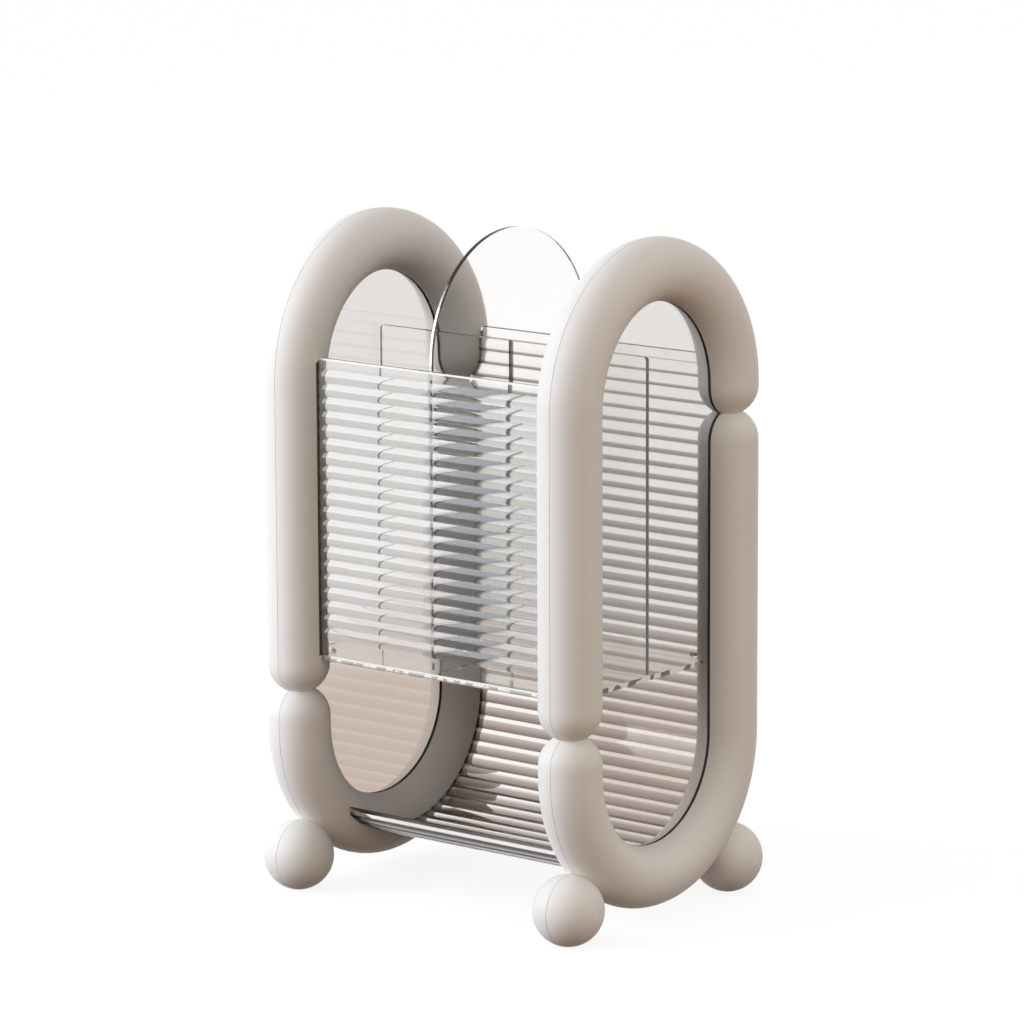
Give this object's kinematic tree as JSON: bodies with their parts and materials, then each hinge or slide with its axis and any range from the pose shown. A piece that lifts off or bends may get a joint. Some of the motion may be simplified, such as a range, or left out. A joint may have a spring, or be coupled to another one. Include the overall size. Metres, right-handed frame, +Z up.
{
  "type": "makeup organizer",
  "caption": "Clear open-topped makeup organizer with ribbed panels, a lower tray and a lift-out divider, held between two balloon-like loops on ball feet.",
  "frame": {"origin": "on the ground under the middle of the object, between its four ball feet", "axes": "+Z up, +X from the left loop to the right loop as seen from the front, -Y towards the open front"},
  "size_m": [0.173, 0.137, 0.2813],
  "materials": {
    "cream_plastic": "satin cream moulded plastic",
    "clear_plate": "clear polished acrylic",
    "clear_ribbed": "clear acrylic with moulded horizontal ribs"
  },
  "bodies": {
    "organizer": {"left_outer_shell": "cream_plastic", "left_inner_shell": "cream_plastic", "left_side_plate": "clear_plate", "right_outer_shell": "cream_plastic", "right_inner_shell": "cream_plastic", "right_side_plate": "clear_plate", "front_panel": "clear_ribbed", "back_panel": "clear_ribbed", "shelf": "clear_plate", "mid_wall": "clear_plate"},
    "divider": {"centre_divider": "clear_plate"}
  },
  "joints": [
    {"name": "divider_lift", "type": "slide", "parent": "organizer", "child": "divider", "axis": [0, 0, 1], "range_m": [0, 0.075]}
  ]
}
